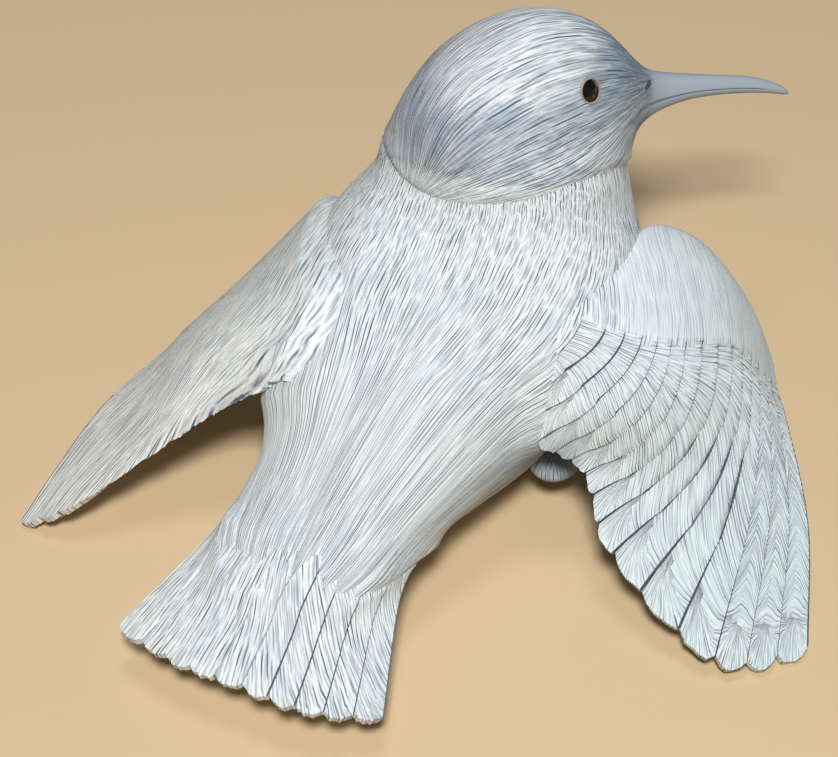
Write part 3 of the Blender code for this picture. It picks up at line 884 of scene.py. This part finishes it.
# %% Join everything into one carving
SHARP_ANGLE = 55
for tool, operation in ([(carved_head, "UNION"), (carved_right, "UNION"), (carved_left, "UNION"),
                         (carved_tail, "UNION")] + [(piece, "UNION") for piece in additions]
                        + [(piece, "DIFFERENCE") for piece in sockets]):
    step = carved_body.modifiers.new(tool.name, "BOOLEAN")
    step.operation = operation
    step.solver = "MANIFOLD"
    step.object = tool
bpy.context.view_layer.update()
graph = bpy.context.evaluated_depsgraph_get()
carving_mesh = bpy.data.meshes.new_from_object(carved_body.evaluated_get(graph))
for piece in [carved_body, carved_head, carved_right, carved_left, carved_tail] + additions + sockets:
    bpy.data.objects.remove(piece, do_unlink=True)
carving_mesh.name = "carved_bird_feathered"
carving = bpy.data.objects.new("carved_bird_feathered", carving_mesh)
bpy.context.scene.collection.objects.link(carving)
places = np.zeros(len(carving_mesh.vertices) * 3, np.float32)
carving_mesh.vertices.foreach_get("co", places)
places = places.reshape(-1, 3)
places[:, 2] = np.maximum(places[:, 2], 0)
carving_mesh.vertices.foreach_set("co", places.ravel())
carving_mesh.polygons.foreach_set("use_smooth", np.ones(len(carving_mesh.polygons), bool))
carving_mesh.set_sharp_from_angle(angle=np.radians(SHARP_ANGLE))
carving_mesh.update()
carving_mesh.calc_loop_triangles()
print("carving:", len(carving_mesh.vertices), "points,", len(carving_mesh.loop_triangles), "triangles")

# %% [markdown]
# ## Finishes
# The priming is a thin, matt, pale blue-grey. A thinner dark blue was washed over it and wiped off, so it
# stays in the strokes. The head took more of it. Shader sums are written as ordinary sums: a small class
# stands for a value in the shader and adds a node for each plus, minus or times.

# %% Shader values
class Value:
    """A number, vector or colour in a shader, which can be added to, multiplied and compared."""

    def __init__(self, finish, socket):
        self.finish = finish
        self.socket = socket

    def maths(self, operation, *others):
        values = dict(enumerate((self,) + others))
        return self.finish.add("ShaderNodeMath", {"operation": operation}, values)

    def __add__(self, other):
        return self.maths("ADD", other)

    def __sub__(self, other):
        return self.maths("SUBTRACT", other)

    def __mul__(self, other):
        return self.maths("MULTIPLY", other)

    def __truediv__(self, other):
        return self.maths("DIVIDE", other)

    def __pow__(self, other):
        return self.maths("POWER", other)

    def __rsub__(self, other):
        return (self * -1.0) + other

    __radd__ = __add__
    __rmul__ = __mul__

    def floor(self):
        return self.maths("FLOOR")

    def size(self):
        return self.maths("ABSOLUTE")

    def rise(self, start, end):
        """0 before start and 1 after end, with a smooth rise between."""
        return self.finish.add("ShaderNodeMapRange", {"interpolation_type": "SMOOTHSTEP"},
                               {0: self, 1: start, 2: end})


class Finish:
    """A material and its one Principled shader."""

    def __init__(self, name):
        self.material = bpy.data.materials.new(name)
        self.material.use_nodes = True
        self.tree = self.material.node_tree
        self.shader = self.tree.nodes["Principled BSDF"]

    def feed(self, socket, value):
        if isinstance(value, Value):
            self.tree.links.new(value.socket, socket)
        else:
            socket.default_value = value

    def add(self, kind, settings, values, output=0):
        """Any node: its settings are set first, then the values or links of its inputs."""
        node = self.tree.nodes.new(kind)
        for key, value in settings.items():
            setattr(node, key, value)
        for key, value in values.items():
            self.feed(node.inputs[key], value)
        return Value(self, node.outputs[output])

    def mix(self, share, first, second, how="MIX"):
        """Two colours mixed by a share from 0 to 1."""
        return self.add("ShaderNodeMix", {"data_type": "RGBA", "blend_type": how},
                        {0: share, 6: first, 7: second}, 2)

    def vector(self, x, y, z=0.0):
        return self.add("ShaderNodeCombineXYZ", {}, {0: x, 1: y, 2: z})

    def parts(self, vector):
        return [self.add("ShaderNodeSeparateXYZ", {}, {0: vector}, place) for place in (0, 1, 2)]

    def random(self, x, y, seed):
        return self.add("ShaderNodeTexWhiteNoise", {"noise_dimensions": "3D"},
                        {"Vector": self.vector(x, y, seed)}, "Value")

    def noise(self, vector, scale, detail=2.0):
        return self.add("ShaderNodeTexNoise", {"noise_dimensions": "3D"},
                        {"Vector": vector, "Scale": scale, "Detail": detail}, 0)

    def strokes(self, across, along, width, length, seed, thin):
        """The same rule for strokes as above, worked out in the shader, with crisp edges at thin."""
        column = (across / width).floor()
        moved = along / length + self.random(column, 0.0, seed)
        row = moved.floor()
        down = moved - row - 0.5
        aside = (self.random(column, row, seed + 1) - 0.5) * 0.5
        slant = (self.random(column, row, seed + 2) - 0.5) * 0.6
        line = across / width - column - 0.5 - aside - slant * down
        depth = self.random(column, row, seed + 3) * 0.7 + 0.3
        ends = 1 - (down * 2.0).size() ** 3.0
        return (1 - line.size().rise(thin * 0.4, thin)) * ends * depth


def colour(red, green, blue):
    """A colour with full cover."""
    return (red, green, blue, 1.0)


# %% Primed wood: where each part is
primed = Finish("primed_wood")
grain_x, grain_y, _ = primed.parts(primed.add("ShaderNodeUVMap", {"uv_map": "grain"}, {}))
cut_depth, part_number, _ = primed.parts(primed.add("ShaderNodeUVMap", {"uv_map": "wash"}, {}))
where = primed.add("ShaderNodeTexCoord", {}, {}, "Object")
x, y, z = [place / MM - offset for place, offset in zip(primed.parts(where), shift / MM)]


def way_to(place):
    """Distance in millimetres from a place given in the tables' millimetres."""
    return primed.add("ShaderNodeVectorMath", {"operation": "DISTANCE"},
                      {0: where, 1: tuple(np.asarray(place) * MM + shift)}, "Value") / MM


def along_axis(axis):
    """Distance in millimetres from the head's centre along one of its axes."""
    dot = primed.add("ShaderNodeVectorMath", {"operation": "DOT_PRODUCT"},
                     {0: where, 1: tuple(axis)}, "Value")
    return dot / MM - float((HEAD_CENTRE + shift / MM) @ axis)


bill = part_number.rise(1.2, 1.8)
lid = part_number.rise(2.4, 2.7)
seam = (part_number * -1.0).rise(0.86, 0.97)
streak = primed.noise(primed.vector(grain_x * 0.55, grain_y * 0.09), 1.0, 3.0)
ragged = primed.noise(primed.vector(grain_x * 0.9, grain_y * 0.1), 1.0, 1.0) - 0.5
forwards = (along_axis(HEAD_ALONG) + HOOD_MIDDLE).size()
hood_height = along_axis(HEAD_UP) + HOOD_DROP - forwards ** 2.0 * HOOD_BEND
near_head = 1 - way_to(HEAD_CENTRE).rise(38.0, 44.0)
hood = (hood_height + ragged * 6.0).rise(-0.4, 0.6) * near_head
hood_edge = (1 - (hood_height + ragged * 5.0).size().rise(0.2, 2.2)) * near_head
print("the hood's edge is", HOOD_DROP, "mm below the head's middle")

# %% Primed wood: strokes and colours
PRIMER, CREAM_PRIMER = colour(0.80, 0.87, 0.90), colour(0.80, 0.79, 0.73)
# The green primer is partly a real tint and partly painted shade on the right wing.
GREEN_PRIMER_AND_SHADE, THIN_WASH = colour(0.64, 0.75, 0.77), colour(0.52, 0.62, 0.71)
# The flank blue is painted shade, laid on the flank and the tuft under the right wing.
MAUVE, HOOD_BLUE, PAINTED_SHADE_BLUE = colour(0.58, 0.55, 0.62), colour(0.28, 0.37, 0.49), colour(0.24, 0.31, 0.40)
BILL_BLUE, GROOVE_BLUE = colour(0.33, 0.39, 0.46), colour(0.045, 0.075, 0.13)
LID_BROWN, SOCKET_BLACK = colour(0.36, 0.27, 0.21), colour(0.012, 0.010, 0.009)
NOSTRIL_CENTRE, NOSTRIL_HALF_SIZE = (27.4, 64.2, 76.3), (2.0, 2.4, 0.7)
faint = part_number.rise(0.2, 0.45) * (1 - part_number.rise(0.6, 0.9))
bend = primed.noise(primed.vector(grain_x * 0.05, grain_y * 0.045), 1.0) - 0.5
warped = grain_x + bend * 2.2
fine = primed.strokes(warped, grain_y, 0.9, 9.0, 5.0, 0.15)
finer = primed.strokes(warped + 0.31, grain_y, 0.57, 6.0, 9.0, 0.22)
bold = primed.strokes(warped + 0.7, grain_y, 2.6, 9.0, 14.0, 0.06)
patches = primed.noise(primed.vector(grain_x * 0.12, grain_y * 0.05), 1.0, 2.0).rise(0.35, 0.65)
plain_bill = 1 - bill
cuts = (fine * (0.45 + patches * 0.5) + finer * 0.45 + bold * (0.25 + hood * 0.35)) * plain_bill
cuts = cuts * (1 - faint * 0.6)
mottle = primed.noise(where, 70.0, 3.0)
left_side = (x * -1.0).rise(10.0, 60.0)
# Towards the bird's right the wing turns a darker green-grey: partly its tint, partly painted shade on the
# drooping right wing.
right_side = x.rise(25.0, 60.0)
pale = primed.mix(left_side * 0.7, PRIMER, CREAM_PRIMER)
pale = primed.mix(right_side * 0.8, pale, GREEN_PRIMER_AND_SHADE)
washed = primed.mix(streak.rise(0.42, 0.72) * 0.45 + mottle.rise(0.5, 0.75) * 0.2, pale, THIN_WASH)
# The face, from the eyes to the bill, takes more of the hood's blue: partly its real wash, partly painted
# shade.
face = 1 - way_to(BILL_BASE + 3 * HEAD_UP).rise(9.0, 30.0)
crown = z.rise(86.0, 95.0)
band = 1 - (z - 83.0 - (x - 10.0) * 0.1).size().rise(2.0, 9.0)
hood_share = 0.12 + streak.rise(0.42, 0.62) * 0.4 + face * 0.55 + band * 0.35 - crown * 0.25
hood_share = hood * hood_share.maths("MINIMUM", 0.95).maths("MAXIMUM", 0.0)
# Painted shade: the right flank and the tuft under the right wing are mixed towards the dark flank blue,
# where the wing shades them.
painted_flank_shade = x.rise(14.0, 30.0) * (1 - z.rise(24.0, 40.0)) * (1 - x.rise(36.0, 40.0))
mauve = hood * (x * -1.0).rise(-8.0, 10.0) * 0.45
hooded = primed.mix(mauve, washed, MAUVE)
hooded = primed.mix(hood_share, hooded, HOOD_BLUE)
hooded = primed.mix(painted_flank_shade * 0.7, hooded, PAINTED_SHADE_BLUE)
billed = primed.mix(bill, hooded, BILL_BLUE)
from_nostril = [(place - middle) / half_size for place, middle, half_size
                in zip((x, y, z), NOSTRIL_CENTRE, NOSTRIL_HALF_SIZE)]
nostril = 1 - primed.add("ShaderNodeVectorMath", {"operation": "LENGTH"},
                         {0: primed.vector(*from_nostril)}, "Value").rise(0.5, 1.0)
dark = (cut_depth * (0.28 + bill * 0.5) + cuts * 1.05 + hood_edge * cuts * 0.9 + seam * 0.9
        + nostril * near_head)
deep = primed.mix(dark.maths("MINIMUM", 0.92), billed, GROOVE_BLUE)
final = primed.mix(lid, deep, LID_BROWN)
around_eyes = part_number.rise(3.4, 3.7)
for hand in (1, -1):
    around_eyes = around_eyes + 1 - way_to(eye_place(hand)[2]).rise(2.35, 2.55)
final = primed.mix(around_eyes.maths("MINIMUM", 1.0), final, SOCKET_BLACK)
primed.feed(primed.shader.inputs["Base Color"], final)
primed.feed(primed.shader.inputs["Roughness"], 0.6 + mottle * 0.14)
bump = primed.add("ShaderNodeBump", {}, {"Strength": 0.9, "Distance": 0.0003,
                                         "Height": 1 - cuts * 0.9 - mottle * 0.1})
primed.feed(primed.shader.inputs["Normal"], bump)
carving_mesh.materials.clear()
carving_mesh.materials.append(primed.material)
print("finish:", primed.material.name, len(primed.tree.nodes), "nodes")

# %% Glass eyes
glass = Finish("black_glass")
sheen = glass.noise(glass.add("ShaderNodeTexCoord", {}, {}, "Object"), 300.0)
glass.feed(glass.shader.inputs["Base Color"],
           glass.mix(sheen, colour(0.004, 0.004, 0.005), colour(0.012, 0.010, 0.009)))
glass.feed(glass.shader.inputs["Roughness"], 0.06 + sheen * 0.05)
glass.shader.inputs["Coat Weight"].default_value = 0.15
glass.shader.inputs["Specular IOR Level"].default_value = 0.35
for name in ("glass_eye_right", "glass_eye_left"):
    eye = frame["nodes"][name]
    eye.data.materials.clear()
    eye.data.materials.append(glass.material)

# %% Put the carving in the frame
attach(carving, "root")
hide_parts("carved_bird")

# %% [markdown]
# ## Floor, light and camera
# A plain pale floor and one large soft lamp behind the camera's shoulder, as the shadows of the photo ask
# for, with a weak even light from all round.

# %% Floor, light and camera
floor_mesh = bpy.data.meshes.new("floor")
FLOOR_REACH = 3.0
corners = [(x_side * FLOOR_REACH, y_side * FLOOR_REACH, 0)
           for x_side, y_side in ((-1, -1), (1, -1), (1, 1), (-1, 1))]
floor_mesh.from_pydata(corners, [], [(0, 1, 2, 3)])
floor = bpy.data.objects.new("floor", floor_mesh)
bpy.context.scene.collection.objects.link(floor)
ground = Finish("floor_board")
ground.shader.inputs["Base Color"].default_value = colour(0.66, 0.50, 0.31)
ground.shader.inputs["Roughness"].default_value = 0.9
floor_mesh.materials.append(ground.material)

CAMERA_TURN, CAMERA_RISE = np.radians((22, 45))
CAMERA_DISTANCE = 0.6
FOCAL_PIXELS, IMAGE_WIDTH, SENSOR = 2500, 838, 36
target = np.array((-14, 30, 0)) * MM + shift
back = np.array((np.sin(CAMERA_TURN) * np.cos(CAMERA_RISE), -np.cos(CAMERA_TURN) * np.cos(CAMERA_RISE),
                 np.sin(CAMERA_RISE)))
camera_data = bpy.data.cameras.new("camera")
camera_data.sensor_width = SENSOR
camera_data.lens = FOCAL_PIXELS / IMAGE_WIDTH * SENSOR
camera_data.clip_start = 0.01
camera = bpy.data.objects.new("camera", camera_data)
camera.location = target + back * CAMERA_DISTANCE
camera.rotation_euler = (np.pi / 2 - CAMERA_RISE, 0, CAMERA_TURN)
bpy.context.scene.collection.objects.link(camera)
bpy.context.scene.camera = camera


def lamp(name, turn, rise, distance, size, power, tint):
    """A square lamp that looks at the bird from a turn and a rise in degrees."""
    data = bpy.data.lights.new(name, "AREA")
    data.size = size
    data.energy = power
    data.color = tint
    turn, rise = np.radians((turn, rise))
    from_bird = Vector((np.sin(turn) * np.cos(rise), -np.cos(turn) * np.cos(rise), np.sin(rise)))
    lit = bpy.data.objects.new(name, data)
    lit.location = from_bird * distance
    lit.rotation_euler = from_bird.to_track_quat("Z", "Y").to_euler()
    bpy.context.scene.collection.objects.link(lit)


lamp("key", 20, 59, 1.2, 0.2, 13.5, (1.0, 0.98, 0.95))
lamp("ceiling", 200, 84, 1.5, 0.4, 4.0, (0.95, 0.98, 1.0))
world = bpy.data.worlds.new("room")
world.use_nodes = True
world.node_tree.nodes["Background"].inputs[0].default_value = colour(0.85, 0.92, 1.0)
world.node_tree.nodes["Background"].inputs[1].default_value = 0.04
bpy.context.scene.world = world
bpy.context.scene.view_settings.view_transform = "Standard"
